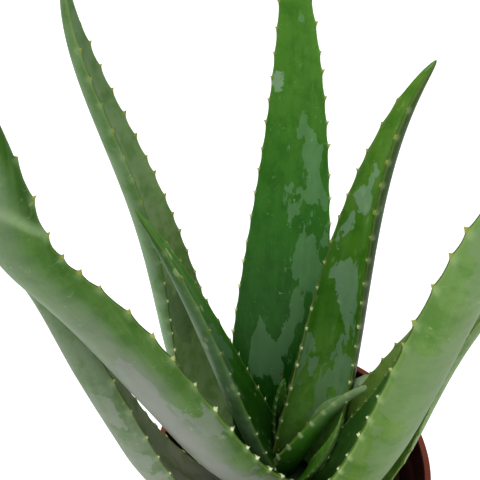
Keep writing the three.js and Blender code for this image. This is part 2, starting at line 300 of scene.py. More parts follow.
# The leaves, in millimetres and degrees. heading, from +X towards +Y, lean, from upright,
# and roll, round the leaf's midline, are read at equal steps from its foot to its tip.
# curl is half the angle that the channelled upper face bends through, at the foot and
# the tip. foot is the radius and height where the leaf starts, with its own heading if
# that differs, teeth are their spacing and height, and fold is where a crease crosses.
leaves = {
    "leaf_heart": dict(
        heading=[137, 125, 118], lean=[29, 4, -9], roll=[10, 8, 0], curl=[57, 49],
        length=61, width=12.5, taper=0.74, flesh=5, foot=[7, 107, 92], teeth=[6, 0.5]),
    "leaf_heart_cut": dict(
        heading=[11, 29, -12.5], lean=[23, 37, 55.5], roll=[70, 56, 13], curl=[52, 31],
        length=71, width=16.5, taper=0.67, flesh=6.5, foot=[5, 106.5, 162], teeth=[7.8, 0.7], cutTip=0.25),
    "leaf_heart_small": dict(
        heading=[-57.5, -24, -15], lean=[20, 13, 2.5], roll=[-17, -10, 21], curl=[8, 19],
        length=73, width=13, taper=0.79, flesh=4, foot=[7, 110.5, -58], teeth=[6, 0.5]),
    "leaf_left_inner": dict(
        heading=[169.5, 159, 159.5, 167], lean=[22, 19, 20, 29.5], roll=[-14, -22, -27, -21], curl=[32, 44],
        length=163, width=35.5, taper=0.75, flesh=7.5, foot=[6, 109, 168], teeth=[12.5, 0.95]),
    "leaf_right_back": dict(
        heading=[54.5, 64.5, 60.5, 32], lean=[21, 20.5, 22, 47], roll=[-16, -6, 21, 22], curl=[73, 48],
        length=200, width=36.5, taper=0.63, flesh=9.5, foot=[7, 107], teeth=[10.3, 1]),
    "leaf_back_tall": dict(
        heading=[106.5, 84, 89, 98.5], lean=[24, 39, 43, 46], roll=[0, 0, -1, 0], curl=[8, 14],
        length=254, width=56, taper=0.75, flesh=12, foot=[13, 106, 99], teeth=[10.9, 1.1]),
    "leaf_left_front": dict(
        heading=[213, 205, 188.5, 167, 238, 248], lean=[18.5, 25, 21.5, 32.5, 11.5, -26],
        roll=[-14, -23, -38, -65, -4, -20], curl=[26, 44],
        length=251, width=56, taper=0.51, flesh=10.5, foot=[11.5, 106.5, 218], teeth=[12.7, 1.6],
        fold=0.885),
    "leaf_right_front": dict(
        heading=[307.5, 325.5, 326, 322], lean=[30.5, 10, 8.5, 17], roll=[-11, -7, 7, 17], curl=[36, 50],
        length=285, width=53.5, taper=0.75, flesh=14, foot=[11, 107, 312], teeth=[13, 1.3]),
    "leaf_left_back": dict(
        heading=[158.5, 137, 154.5, 164, 162], lean=[60, 21.5, 10, 15.5, -9], roll=[2, 10, 1, -5, -9],
        curl=[63, 68],
        length=254, width=34.5, taper=0.58, flesh=8, foot=[14, 103], teeth=[10.2, 1]),
    "leaf_right_outer": dict(
        heading=[-4.5, 7.5, 4.5, 0.5], lean=[43.5, 15.5, 20.5, 37.5], roll=[-33, -27, -7, 8], curl=[15, 45],
        length=189, width=45.5, taper=0.65, flesh=11, foot=[14, 100, -2], teeth=[11.5, 1]),
    "leaf_left_outer": dict(
        heading=[219.5, 182.5, 180, 142, 199], lean=[58, 38, 15, 31, 23.5], roll=[-37, -31, -23, -70, -33],
        curl=[15, 54],
        length=193, width=44, taper=0.53, flesh=11, foot=[14, 100, 224], teeth=[13, 1.1]),
    "leaf_front_outer": dict(
        heading=[281, 281, 278], lean=[56, 44, 50], roll=[0, 0, 0], curl=[45, 38],
        length=215, width=44, taper=0.72, flesh=11, foot=[15, 100], teeth=[11, 1]),
}
leafForm = {
    "rings": 420,
    "columns": 56,
    "ringCrowding": 1.3,  # above 1 the rings stand closer towards the tip
    "spineSteps": 120,
    "turnSteps": 5,
    "baseNarrowing": 0.85,  # width where it leaves the stem, against its widest
    "baseLength": 0.15,  # share of the leaf over which it reaches full width
    "sideRoundness": 0.6,
    "fleshTaper": 0.7,
    "bluntShare": 0.07,  # share of the leaf that closes into its rounded tip
    "wave": 0.35,  # height of the slow hollows, in millimetres
    "firstTooth": 1.4,  # in spaces between teeth, from the foot
    "toothReach": 0.93,
    "toothScatter": 0.14,
    "thornSize": 2.0,  # in tooth heights, as thornSunk is
    "thornSunk": 0.15,
    "thornLean": 0.25,
    "thornDrop": 0.2,  # below the upper face, in millimetres
    "thornGrowth": (0.8, 1.15),
    "thornFullWidth": 5.0,  # half a leaf's width that full thorns need, in millimetres
    "swell": 0.7,
    "swellReach": 1.7,
    "foldWidth": 0.014,
    "foldBow": 0.05,
    "foldHeight": 0.0014,
}
leafInputs = {
    "Length": ("Float", 0.2), "Width": ("Float", 0.04), "Taper": ("Float", 0.75),
    "Flesh": ("Float", 0.01), "Foot": ("Vector", None), "Curl Foot": ("Float", 45.0),
    "Curl Tip": ("Float", 45.0), "Cut Tip": ("Float", 0.0), "Fold": ("Float", 0.0),
    "Tooth Pitch": ("Float", 0.012), "Tooth Height": ("Float", 0.001), "Wave": ("Float", 0.0003),
    "Seed": ("Int", 0), "Rings": ("Int", 300), "Columns": ("Int", 56), "Material": ("Material", None),
}
leafInputs.update({f"Turn {i}": ("Vector", None) for i in range(leafForm["turnSteps"] + 1)})


# The smooth curve through equally spaced values, read at u from 0 to 1.
def along(values, u):
    last = len(values) - 1
    total = 0.0
    for i, value in enumerate(values):
        weight = 1.0
        for j in range(last + 1):
            if j != i:
                weight = weight * (u * last - j) * (1 / (i - j))
        total = value * weight if i == 0 else total + value * weight
    return total


# The leaf's directions at u: forward along it, side, and up from its upper face.
def leafDirections(tree, given, u):
    turn = along([given[f"Turn {i}"] for i in range(leafForm["turnSteps"] + 1)], u)
    heading, lean, roll = (turn * math.radians(1)).parts()
    c, s = heading.of("COSINE"), heading.of("SINE")
    leanCos, leanSin = lean.of("COSINE"), lean.of("SINE")
    forward = tree.xyz(leanSin * c, leanSin * s, leanCos)
    flatUp = tree.xyz(-(leanCos * c), -(leanCos * s), leanSin)
    flatSide = tree.xyz(s, -c, 0.0)
    side = flatSide * roll.of("COSINE") + flatUp * roll.of("SINE")
    up = flatUp * roll.of("COSINE") - flatSide * roll.of("SINE")
    return forward, side, up


def leafHalfWidth(tree, given, u):
    reach = u * (1 - given["Cut Tip"])
    opening = reach.rise(0.0, leafForm["baseLength"], leafForm["baseNarrowing"], 1.0)
    narrowing = (1 - reach).of("MAXIMUM", 0.0) ** given["Taper"]
    blunt = ((u - (1 - leafForm["bluntShare"])) / (leafForm["bluntShare"] * 0.9999)).of("MAXIMUM", 0.0)
    dome = (1 - blunt * blunt).of("MAXIMUM", 0.0) ** 0.5
    closing = tree.mix(given["Cut Tip"] > 0.001, 1.0, dome)
    return given["Width"] * 0.5 * narrowing * opening * closing


# The point of the upper face at u and v, with the way out of the face and of the margin.
def leafPoint(tree, given, spine, u, v):
    forward, side, up = leafDirections(tree, given, u)
    values = {"Curves": spine, "Factor": u}
    middle = tree.node("GeometryNodeSampleCurve", {"mode": "FACTOR"}, values, "Position")
    curl = tree.mix(u, given["Curl Foot"], given["Curl Tip"]) * math.radians(1)
    halfWidth = leafHalfWidth(tree, given, u)
    bend = halfWidth / curl
    c, s = (curl * v).of("COSINE"), (curl * v).of("SINE")
    across = side * c + up * s
    outward = up * c - side * s
    point = middle + side * (bend * s) + up * (bend * (1 - c))
    return point, forward, across, outward, halfWidth


# Where the tooth of a number stands along the leaf, in metres, on the side of sign v.
def toothPlace(tree, given, number, v):
    most = leafForm["toothScatter"]
    scatter = tree.random(-most, most, given["Seed"], ID=number * 2 + (v > 0.0))
    return (number + leafForm["firstTooth"] + scatter) * given["Tooth Pitch"]


# How far u lies past a crease that bows across the leaf.
def foldPlace(u, v, fold):
    return u - fold + v * v * leafForm["foldBow"]


# The midline of a leaf, walked in short steps from its foot.
def leafSpine(tree, given, index):
    steps = leafForm["spineSteps"]
    line = tree.node("GeometryNodeMeshLine", {}, {"Count": steps + 1})
    forward = leafDirections(tree, given, (index + 0.5) / steps)[0]
    values = {"Value": forward * (given["Length"] / steps)}
    walked = tree.node("GeometryNodeAccumulateField", {"data_type": "FLOAT_VECTOR"}, values, "Trailing")
    line = tree.node("GeometryNodeSetPosition", {}, {"Geometry": line, "Position": given["Foot"] + walked})
    return tree.node("GeometryNodeMeshToCurve", {}, {"Mesh": line})


# A leaf's closed body: a grid whose rings wrap round the midline, over the upper face
# and back along the underside.
def leafBody(tree, given, spine):
    grid = tree.node("GeometryNodeMeshGrid", {}, {
        "Size X": 1.0, "Size Y": 1.0, "Vertices X": given["Rings"], "Vertices Y": given["Columns"] + 1})
    gridX, gridY, _ = tree.node("GeometryNodeInputPosition").parts()
    ring = ((gridX + 0.5) * (given["Rings"] - 1) - 1).of("MAXIMUM", 0.0) / (given["Rings"] - 2)
    left = (0.99999 - ring).of("MAXIMUM", 0.0) ** leafForm["ringCrowding"]
    grid = storeField(tree, grid, "along", 1 - left)
    grid = storeField(tree, grid, "across", -((gridY + 0.5) * 2 * math.pi).of("COSINE"))
    grid = storeField(tree, grid, "under", (gridY * 400).of("MAXIMUM", 0.0).of("MINIMUM", 1.0))
    grid = storeField(tree, grid, "cap", (gridX + 0.5) < 0.0005)
    grid = storeField(tree, grid, "below", gridY > 0.0)
    u, v, isUnder, isCap = (readField(tree, name) for name in ("along", "across", "below", "cap"))
    point, _, across, outward, halfWidth = leafPoint(tree, given, spine, u, v)
    depth = given["Flesh"] * (halfWidth / (given["Width"] * 0.5)) ** leafForm["fleshTaper"]
    full = (0.999999 - v * v).of("MAXIMUM", 0.0) ** leafForm["sideRoundness"]
    sink = depth * full * tree.mix(isCap, isUnder, 0.5)

    # the margin swells a little at the foot of each tooth
    travel = u * given["Length"]
    number = (travel / given["Tooth Pitch"] - leafForm["firstTooth"]).of("ROUND")
    reach = given["Tooth Height"] * leafForm["swellReach"]
    distance = abs(travel - toothPlace(tree, given, number, v)) / reach
    knob = (-distance).of("EXPONENT") * (number > -0.5) * (u < leafForm["toothReach"])
    swell = given["Tooth Height"] * leafForm["swell"] * abs(v).rise(0.9, 1.0) * knob

    # slow hollows and ridges run with the leaf, and a crease crosses its underside
    flow = tree.xyz(v * 2.2, u * 2.5, isUnder * 7.0 + given["Seed"] * 3.1)
    height = given["Wave"] * 2 / given["Flesh"]
    wave = (tree.noise(flow, 1.0, 2.0) - 0.5) * height * depth * full * (1 - isCap)
    fold = foldPlace(u, v, given["Fold"]) / leafForm["foldWidth"]
    crease = (-(fold * fold)).of("EXPONENT") * (given["Fold"] > 0.0) * isUnder * full
    wave = wave - crease * leafForm["foldHeight"]
    place = point - outward * sink + outward * wave + across * (swell * v)
    body = tree.node("GeometryNodeSetPosition", {}, {"Geometry": grid, "Position": place})
    body = storeField(tree, body, "inset", (1 - abs(v)) * halfWidth)
    body = storeField(tree, body, "knob", knob)
    body = storeField(tree, body, "surface", tree.xyz(v * halfWidth, travel, isUnder * 0.2), "FLOAT_VECTOR")
    body = tree.node("GeometryNodeMergeByDistance", {}, {"Geometry": body, "Distance": 0.0000003})
    return tree.node("GeometryNodeFlipFaces", {}, {"Mesh": body})


# Small hooked thorns, set along both margins.
def leafTeeth(tree, given, spine, index):
    room = given["Length"] * leafForm["toothReach"] / given["Tooth Pitch"]
    count = (room - leafForm["firstTooth"]).of("FLOOR") + 1
    points = tree.node("GeometryNodeMeshLine", {}, {"Count": count * 2})
    number = (index * 0.5).of("FLOOR")
    margin = (index - number * 2) * 2 - 1
    points = storeField(tree, points, "along", toothPlace(tree, given, number, margin) / given["Length"])
    points = storeField(tree, points, "across", margin)
    u, v = readField(tree, "along"), readField(tree, "across")
    point, forward, across, outward, halfWidth = leafPoint(tree, given, spine, u, v)
    full = (halfWidth / (leafForm["thornFullWidth"] * mm)).of("MINIMUM", 1.0)
    points = storeField(tree, points, "size", full)
    place = tree.xyz(v * halfWidth, u * given["Length"], 0.0)
    points = storeField(tree, points, "surface", place, "FLOAT_VECTOR")
    outwards = across * v
    facing = tree.node("FunctionNodeAxesToRotation", {"primary_axis": "Z", "secondary_axis": "X"},
                       {"Primary Axis": outwards + forward * leafForm["thornLean"],
                        "Secondary Axis": forward})
    drop = outward * (leafForm["thornDrop"] * mm)
    sunk = outwards * (given["Tooth Height"] * leafForm["thornSunk"])
    points = tree.node("GeometryNodeSetPosition", {}, {"Geometry": points, "Position": point - drop - sunk})
    growth = tree.random(*leafForm["thornGrowth"], 5, ID=index)
    size = given["Tooth Height"] * leafForm["thornSize"] * growth * readField(tree, "size")
    return tree.node("GeometryNodeInstanceOnPoints", {}, {
        "Points": points, "Instance": makeThorn(tree), "Rotation": facing,
        "Scale": tree.xyz(1.0, 1.0, 1.0) * size})


def makeLeafTree():
    group, tree, given = newGeometryTree("aloe leaf", leafInputs)
    index = tree.node("GeometryNodeInputIndex")
    spine = leafSpine(tree, given, index)
    pieces = [leafBody(tree, given, spine), leafTeeth(tree, given, spine, index)]
    whole = tree.node("GeometryNodeJoinGeometry", {}, {"Geometry": pieces})
    closeTree(tree, whole, given["Material"])
    return group


def storeField(tree, geometry, name, value, kind="FLOAT"):
    values = {"Geometry": geometry, "Name": name, "Value": value}
    return tree.node("GeometryNodeStoreNamedAttribute", {"data_type": kind, "domain": "POINT"}, values)


def readField(tree, name):
    return tree.node("GeometryNodeInputNamedAttribute", {"data_type": "FLOAT"}, {"Name": name}, "Attribute")


# A thorn one unit high, broad where it leaves the margin and hooked forwards at its tip.
# length and thickness are of its foot, along and across the margin.
def makeThorn(tree):
    length, thickness, hook = 0.75, 0.42, 0.5
    cone = tree.node("GeometryNodeMeshCone", {}, {
        "Vertices": 8, "Side Segments": 4, "Fill Segments": 1,
        "Radius Top": 0.0, "Radius Bottom": 1.0, "Depth": 1.0})
    x, y, z = tree.node("GeometryNodeInputPosition").parts()
    cone = storeField(tree, cone, "tooth", z)
    z = readField(tree, "tooth")
    slim = (1 - z).of("MAXIMUM", 0.0) ** 0.9
    place = tree.xyz(x * slim * length + z * z * hook, y * slim * thickness, z)
    return tree.node("GeometryNodeSetPosition", {}, {"Geometry": cone, "Position": place})


def closeTree(tree, geometry, material):
    smooth = tree.node("GeometryNodeSetShadeSmooth", {}, {"Geometry": geometry})
    real = tree.node("GeometryNodeRealizeInstances", {}, {"Geometry": smooth})
    done = tree.node("GeometryNodeSetMaterial", {}, {"Geometry": real, "Material": material})
    tree.node("NodeGroupOutput", {}, {"Geometry": done})


def makeLeaf(name, leaf, group, material, seed):
    steps = leafForm["turnSteps"]
    turns = {f"Turn {i}": [along(leaf[key], i / steps) for key in ("heading", "lean", "roll")]
             for i in range(steps + 1)}
    radius, height, *own = leaf["foot"]
    footHeading = math.radians(own[0] if own else leaf["heading"][0])
    values = {
        "Length": leaf["length"] * mm, "Width": leaf["width"] * mm, "Taper": leaf["taper"],
        "Flesh": leaf["flesh"] * mm,
        "Foot": (radius * mm * math.cos(footHeading), radius * mm * math.sin(footHeading), height * mm),
        "Curl Foot": float(leaf["curl"][0]), "Curl Tip": float(leaf["curl"][1]),
        "Cut Tip": leaf.get("cutTip", 0.0), "Fold": leaf.get("fold", 0.0),
        "Tooth Pitch": leaf["teeth"][0] * mm, "Tooth Height": leaf["teeth"][1] * mm,
        "Wave": leafForm["wave"] * mm, "Seed": seed, "Rings": leafForm["rings"],
        "Columns": leafForm["columns"], "Material": material, **turns,
    }
    piece = grow(name.replace("leaf_", "aloe_leaf_"), group, values)
    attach(piece, "root")
    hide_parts(name)
    return piece


# What each leaf looks like, as colours from 0 to 255 at its foot, middle and tip. Places
# across a leaf go from -1 to 1 between its margins, and along it from 0 to 1.
# The painted reflection lies in torn patches; its keys give how much of each face it covers,
# its tone on either face, and the [across, along] place that it gathers round. grey is how far the
# underside turns grey, where across the leaf the green ends and the grey begins, and the grey's tone:
# the glaucous bloom with painted light over it, a paler painted sheen on leaf_left_front and a darker
# painted shade on leaf_right_front. flecks are the pale marks of a young leaf, knobs the pale spots at its
# teeth, teeth the tones of the teeth at its two margins, and fold where its crease lies, with a painted
# highlight along it and painted shade beyond it.
skins = {
    "leaf_heart": dict(
        upper=[(18, 60, 10), (34, 84, 18), (86, 130, 54)],
        under=[(22, 66, 12), (40, 92, 24), (92, 136, 60)],
        sheen=0.2, sheenUnder=0.25, sheenTone=[(60, 100, 50), (70, 108, 60)],
        sheenAt=[0.0, 0.6], flecks=0.9, knobs=0.8),
    # the pale middle and tip of its upper face are painted light on a face that lies in shade
    "leaf_heart_cut": dict(
        upper=[(60, 110, 30), (120, 164, 88), (188, 212, 168)],
        under=[(44, 96, 26), (72, 130, 34), (170, 200, 150)],
        sheen=0.3, sheenUnder=0.25, sheenTone=[(190, 214, 170), (110, 150, 84)],
        sheenAt=[-0.6, 0.75], flecks=0.4, knobs=2.2),
    "leaf_heart_small": dict(
        upper=[(70, 124, 30), (100, 164, 50), (110, 160, 64)],
        under=[(96, 128, 76), (120, 152, 96), (140, 176, 100)],
        sheen=0.25, sheenUnder=0.3, sheenTone=[(90, 120, 76), (96, 126, 84)],
        sheenAt=[0.0, 0.4], flecks=0.5, knobs=0.6),
    "leaf_left_inner": dict(
        upper=[(44, 96, 26), (50, 106, 24), (84, 136, 48)],
        under=[(120, 158, 114), (132, 166, 124), (62, 106, 32)],
        sheen=0.36, sheenUnder=0.4, sheenTone=[(100, 136, 104), (136, 160, 134)],
        sheenAt=[0.3, 0.3], flecks=0.5, knobs=0.6),
    # its underside tones are painted shade, and the pale foot of its upper face is painted light
    "leaf_right_back": dict(
        upper=[(130, 178, 84), (62, 118, 20), (84, 128, 34)],
        under=[(40, 62, 30), (44, 68, 30), (60, 86, 36)],
        sheen=0.62, sheenUnder=0.35, sheenTone=[(134, 166, 138), (70, 92, 60)],
        sheenAt=[-0.1, 0.34], flecks=0.12, knobs=0.5),
    "leaf_back_tall": dict(
        upper=[(16, 74, 6), (46, 106, 24), (82, 132, 38)],
        under=[(60, 100, 48), (70, 112, 56), (90, 130, 66)],
        sheen=0.56, sheenUnder=0.3, sheenTone=[(102, 144, 98), (104, 130, 92)],
        sheenAt=[0.45, 0.42], knobs=0.3),
    "leaf_left_front": dict(
        upper=[(40, 80, 26), (52, 92, 30), (58, 92, 32)],
        under=[(92, 124, 58), (78, 112, 48), (72, 112, 38)],
        sheen=0.3, sheenUnder=0.6, sheenTone=[(84, 112, 74), (132, 136, 128)],
        sheenAt=[-0.6, 0.28], knobs=0.5, grey=[0.9, -0.88, -0.5, (130, 134, 124)],
        fold=leaves["leaf_left_front"]["fold"]),
    "leaf_right_front": dict(
        upper=[(60, 104, 40), (66, 108, 44), (80, 120, 56)],
        under=[(106, 136, 74), (98, 134, 52), (108, 142, 82)],
        sheen=0.3, sheenUnder=0.62, sheenTone=[(96, 128, 84), (114, 138, 96)],
        sheenAt=[0.75, 0.45], knobs=0.6, grey=[0.85, 0.75, 0.0, (92, 106, 76)],
        teeth=[(84, 112, 52), (232, 240, 184)]),
    # the pale foot of its upper face is painted light, lifting the shade between the leaves
    "leaf_left_back": dict(
        upper=[(190, 218, 158), (150, 176, 116), (108, 136, 92)],
        under=[(112, 148, 96), (128, 160, 112), (100, 130, 80)],
        sheen=0.3, sheenUnder=0.35, sheenTone=[(100, 126, 94), (130, 156, 128)],
        sheenAt=[0.0, 0.5], knobs=0.5),
    "leaf_right_outer": dict(
        upper=[(80, 118, 40), (116, 146, 66), (126, 152, 90)],
        under=[(100, 128, 70), (112, 140, 84), (110, 134, 84)],
        sheen=0.4, sheenUnder=0.3, sheenTone=[(124, 152, 100), (132, 148, 120)],
        sheenAt=[0.0, 0.5], knobs=0.0, teeth=[(112, 132, 72), (112, 132, 72)]),
    "leaf_left_outer": dict(
        upper=[(176, 178, 158), (176, 174, 154), (130, 160, 116)],
        under=[(112, 122, 104), (108, 122, 96), (102, 122, 90)],
        sheen=0.35, sheenUnder=0.5, sheenTone=[(150, 160, 136), (134, 142, 128)],
        sheenAt=[0.0, 0.4], knobs=0.4),
    "leaf_front_outer": dict(
        upper=[(50, 88, 34), (60, 102, 40), (84, 124, 60)],
        under=[(120, 138, 108), (112, 136, 96), (104, 136, 80)],
        sheen=0.4, sheenUnder=0.35, sheenTone=[(90, 120, 84), (132, 150, 124)],
        sheenAt=[0.0, 0.4], knobs=0.4),
}
skinForm = {
    "marginColour": rgb(150, 182, 78),
    "marginShare": 0.75,
    "toothLow": rgb(232, 240, 184),
    "toothHigh": rgb(140, 150, 58),
    "toothPoint": rgb(150, 104, 52),
    "fleckColour": rgb(184, 210, 146),
    "dotColour": rgb(150, 180, 120),
    "scratchColour": rgb(164, 188, 140),
    "grainColour": rgb(130, 164, 104),
    "streakColour": rgb(20, 60, 8),
    "blotchTint": (0.62, 0.78, 0.5, 1.0),
    "foldHighlightBand": rgb(120, 150, 106),
    "foldShade": rgb(50, 88, 14),
    "foldHighlightLine": rgb(150, 176, 128),
    "sheenPatchSize": 0.022,
    "sheenShare": 0.85,
    "grainSize": 0.0012,
    "roughness": 0.36,
    "gloss": 0.14,
}
# How many of each pattern's waves or cells there are in a metre of leaf.
patterns = {"slow": 70.0, "blotch": 130.0, "streak": 160.0, "ripple": 260.0, "dots": 420.0,
            "flecks": 250.0, "scratch": 210.0, "patch": 90.0, "scratchPatch": 150.0, "ragged": 420.0}
# Single marks, as leaf: [across mm, along mm, half width mm, half length mm, colour, strength].
spots = {
    "leaf_back_tall": [
        [-9, 176, 3.2, 6.5, (150, 176, 146), 0.5],
        [0, 39, 0.9, 0.8, (124, 66, 34), 0.8],
    ],
    "leaf_left_inner": [
        [-0.5, 157, 0.5, 3, (214, 222, 190), 0.8],
        [-2, 148, 0.4, 3, (196, 210, 170), 0.6],
    ],
}


def leafMaterial(name, skin, seed):
    made, tree = newMaterial(name.replace("leaf_", "skin_"))
    u, v = tree.attribute("along"), tree.attribute("across")
    under, inset, tooth = tree.attribute("under"), tree.attribute("inset"), tree.attribute("tooth")
    own = tree.attribute("surface", vector=True)
    surface = own + tree.xyz(seed * 0.31, seed * 0.17, 0.0)
    x, y, z = surface.parts()

    # greens that shift slowly along the leaf
    slow = tree.noise(tree.xyz(x, y * 0.4, z), patterns["slow"], 3.0)
    shift = u + (slow - 0.5) * 0.22
    faces = []
    for face in ("upper", "under"):
        stops = [(place, rgb(*tone)) for place, tone in zip((0.06, 0.42, 0.95), skin[face])]
        faces.append(tree.node("ShaderNodeValToRGB", {"stops": stops}, {"Fac": shift}))
    colour = tree.blend(under, *faces)
    # the underside turns grey: its glaucous bloom with painted light laid over it, whose lightness each
    # leaf's grey tone sets
    if "grey" in skin:
        strength, green, grey, tone = skin["grey"]
        low, high = sorted((green, grey))
        side = (v + (0.5 - u) * 0.4 + (slow - 0.5) * 0.5).rise(low, high)
        side = side if green < grey else 1 - side
        greyBloomAndLight = side * (1 - u.rise(0.4, 0.75, 0.0, 0.7)) * under * strength
        greyBloomAndLight = greyBloomAndLight * (1 - abs(v - grey).rise(0.5, 1.0, 0.0, 0.7))
    # painted light at the crease: a painted highlight on its crest and on the band just past it, and
    # painted shade on the part beyond, which turns away from the light
    if "fold" in skin:
        past = foldPlace(u, v, skin["fold"])
        foldLitBand = past.rise(0.0, 0.02) * (1 - past.rise(0.02, 0.1)) * under
        colour = tree.blend(foldLitBand * 0.5, colour, skinForm["foldHighlightBand"])
        foldShadeBeyond = past.rise(0.0, 0.02) * (1 - v.rise(-0.9, -0.3)) * under
        colour = tree.blend(foldShadeBeyond * 0.9, colour, skinForm["foldShade"])
        foldHighlightCrest = (1 - abs(past).rise(0.0, 0.016)) * under
        colour = tree.blend(foldHighlightCrest * 0.6, colour, skinForm["foldHighlightLine"])

    # blotches, and streaks that run with the leaf
    blotch = tree.noise(tree.xyz(x, y * 0.7, z), patterns["blotch"], 4.0, 0.62)
    colour = tree.blend(blotch.rise(0.42, 0.66), colour, skinForm["blotchTint"], "MULTIPLY")
    grain = tree.noise(tree.xyz(x, y * 0.035, z), 1 / skinForm["grainSize"], 3.0, 0.6)
    streak = tree.noise(tree.xyz(x, y * 0.05, z), patterns["streak"], 2.0)
    grained = (grain - 0.5).of("MAXIMUM", 0.0) * (under * 0.3 + 0.2)
    colour = tree.blend(grained, colour, skinForm["grainColour"])
    colour = tree.blend(streak.rise(0.45, 0.75) * 0.15, colour, skinForm["streakColour"])
    # the grey of bloom and painted light is laid on here
    if "grey" in skin:
        greyLightTone = tree.blend(blotch, rgb(*tone), scaled(rgb(*tone), 0.8))
        colour = tree.blend(greyBloomAndLight, colour, greyLightTone)

    # painted reflection in torn patches
    ripple = tree.noise(tree.xyz(x, y * 0.5, z), patterns["ripple"], 3.0, 0.6, colour=True)
    sheenPlace = tree.xyz(x, y * 0.42, z) + (ripple - (0.5, 0.5, 0.5)) * 0.005
    torn = tree.cells(sheenPlace, 2.4 / skinForm["sheenPatchSize"]).other("Position")
    shape = tree.noise(sheenPlace, 1.2 / skinForm["sheenPatchSize"], 3.0, 0.55)
    tornShape = tree.noise(torn, 1.2 / skinForm["sheenPatchSize"], 0.0)
    acrossAt, alongAt = skin["sheenAt"]
    farness = ((v - acrossAt) * 0.7) ** 2 + ((u - alongAt) * 2.0) ** 2
    gather = 0.06 - farness.of("MINIMUM", 1.0) * 0.22
    share = tree.mix(under, skin["sheen"], skin["sheenUnder"])
    sheen = (shape * 0.6 + tornShape * 0.4 + gather + share * 0.3 - 0.2).rise(0.5, 0.508)
    sheen = sheen * (1 - tooth.rise(0.0, 0.2)) * inset.rise(0.0004, 0.001)
    sheenColour = tree.blend(under, rgb(*skin["sheenTone"][0]), rgb(*skin["sheenTone"][1]))
    sheenColour = tree.blend(streak * 0.6, sheenColour, colour)
    sheenCover = sheen * skinForm["sheenShare"] * blotch.rise(0.2, 0.55, 1.0, 0.8)
    colour = tree.blend(sheenCover, colour, sheenColour)

    # fine pale dots, thin scratches, and the marks of a young leaf
    patch = tree.noise(surface, patterns["patch"], 1.0)
    dots = tree.cells(tree.xyz(x, y * 0.7, z), patterns["dots"])
    dotted = (1 - dots.rise(0.08, 0.2)) * 0.3 * patch.rise(0.45, 0.7)
    colour = tree.blend(dotted, colour, skinForm["dotColour"])
    lines = abs(tree.noise(tree.xyz(x, y * 0.6, z), patterns["scratch"], 1.0) - 0.5)
    scratch = 1 - lines.rise(0.0, 0.006)
    scratch = scratch * tree.noise(surface, patterns["scratchPatch"], 2.0).rise(0.56, 0.62)
    colour = tree.blend(scratch * 0.35, colour, skinForm["scratchColour"])
    if "flecks" in skin:
        marks = tree.cells(tree.xyz(x, y * 0.42, z), patterns["flecks"])
        mark = (1 - marks.rise(0.14, 0.26)) * patch.rise(0.4, 0.6) * skin["flecks"]
        colour = tree.blend(mark, colour, skinForm["fleckColour"])
    ownX, ownY, _ = own.parts()
    for spotX, spotY, halfWidth, halfLength, tone, strength in spots.get(name, []):
        reachX = (ownX - spotX * mm) / (halfWidth * mm)
        reachY = (ownY - spotY * mm) / (halfLength * mm)
        ragged = (tree.noise(surface, patterns["ragged"], 2.0) - 0.5) * 1.6
        spread = (reachX ** 2 + reachY ** 2) ** 0.5 + ragged
        spot = (1 - spread.rise(0.6, 0.95)) * (1 - under) * strength
        colour = tree.blend(spot, colour, rgb(*tone))

    # margin line, pale spots at the teeth, and the teeth
    fade = 1 - u.rise(0.1, 0.55)
    line = (1 - inset.rise(0.0001, 0.0005)) * (fade * 0.75 + 0.25) * skinForm["marginShare"]
    colour = tree.blend(line, colour, skinForm["marginColour"])
    knob = tree.attribute("knob").rise(0.2, 0.8) * (1 - inset.rise(0.0003, 0.0012))
    colour = tree.blend(knob * (fade * 0.6 + 0.4) * skin["knobs"], colour, skinForm["fleckColour"])
    toothLow = skinForm["toothLow"]
    if "teeth" in skin:
        toothLow = tree.blend(v > 0.0, *[rgb(*tone) for tone in skin["teeth"]])
    toothColour = tree.blend(u.rise(0.3, 0.65), toothLow, skinForm["toothHigh"])
    colour = tree.blend(tooth.rise(0.02, 0.35), colour, toothColour)
    colour = tree.blend(tooth.rise(0.75, 1.0) * 0.5, colour, skinForm["toothPoint"])

    rough = skinForm["roughness"] + sheen * 0.1 + under * 0.12 + (slow - 0.5) * 0.12
    height = grain * 0.00004 + slow * 0.0009 + sheen * 0.00002 + streak * 0.0001 + blotch * 0.0002
    bump = tree.node("ShaderNodeBump", {}, {"Strength": 1.0, "Distance": 1.0, "Height": height})
    tree.output(Base_Color=colour, Roughness=rough, Normal=bump, Specular_IOR_Level=skinForm["gloss"],
                Subsurface_Weight=0.05, Subsurface_Radius=(0.4, 1.0, 0.2), Subsurface_Scale=0.004)
    return made


leafTree = makeLeafTree()
for seed, (name, leaf) in enumerate(leaves.items()):
    made = makeLeaf(name, leaf, leafTree, leafMaterial(name, skins[name], seed), seed)
    print(made.name, len(made.data.polygons), "faces")
print("leaves grown")


# The pot, in millimetres. Its underside stands on a middle pad and a ring, with the drain
# holes in the raised channel between them.
pot = {
    "height": 115, "rimRadius": 65, "lipWidth": 3.6, "lipThickness": 1.6, "collarHeight": 15,
    "collarStep": 1.8, "baseRadius": 45, "wall": 1.4, "floor": 2.2, "padRadius": 20, "footWidth": 7,
    "channelRise": 2.6, "holeCount": 8, "holeRadius": 3.5, "segments": 160,
    # the dark inner colour is painted shade for the pot's inner wall
    "outside": rgb(126, 60, 42), "innerShade": rgb(44, 16, 12), "dust": rgb(120, 88, 70),
}


def linkMesh(name, points, faces):
    mesh = bpy.data.meshes.new(name)
    mesh.from_pydata(points, [], faces)
    obj = bpy.data.objects.new(name, mesh)
    bpy.context.scene.collection.objects.link(obj)
    return obj


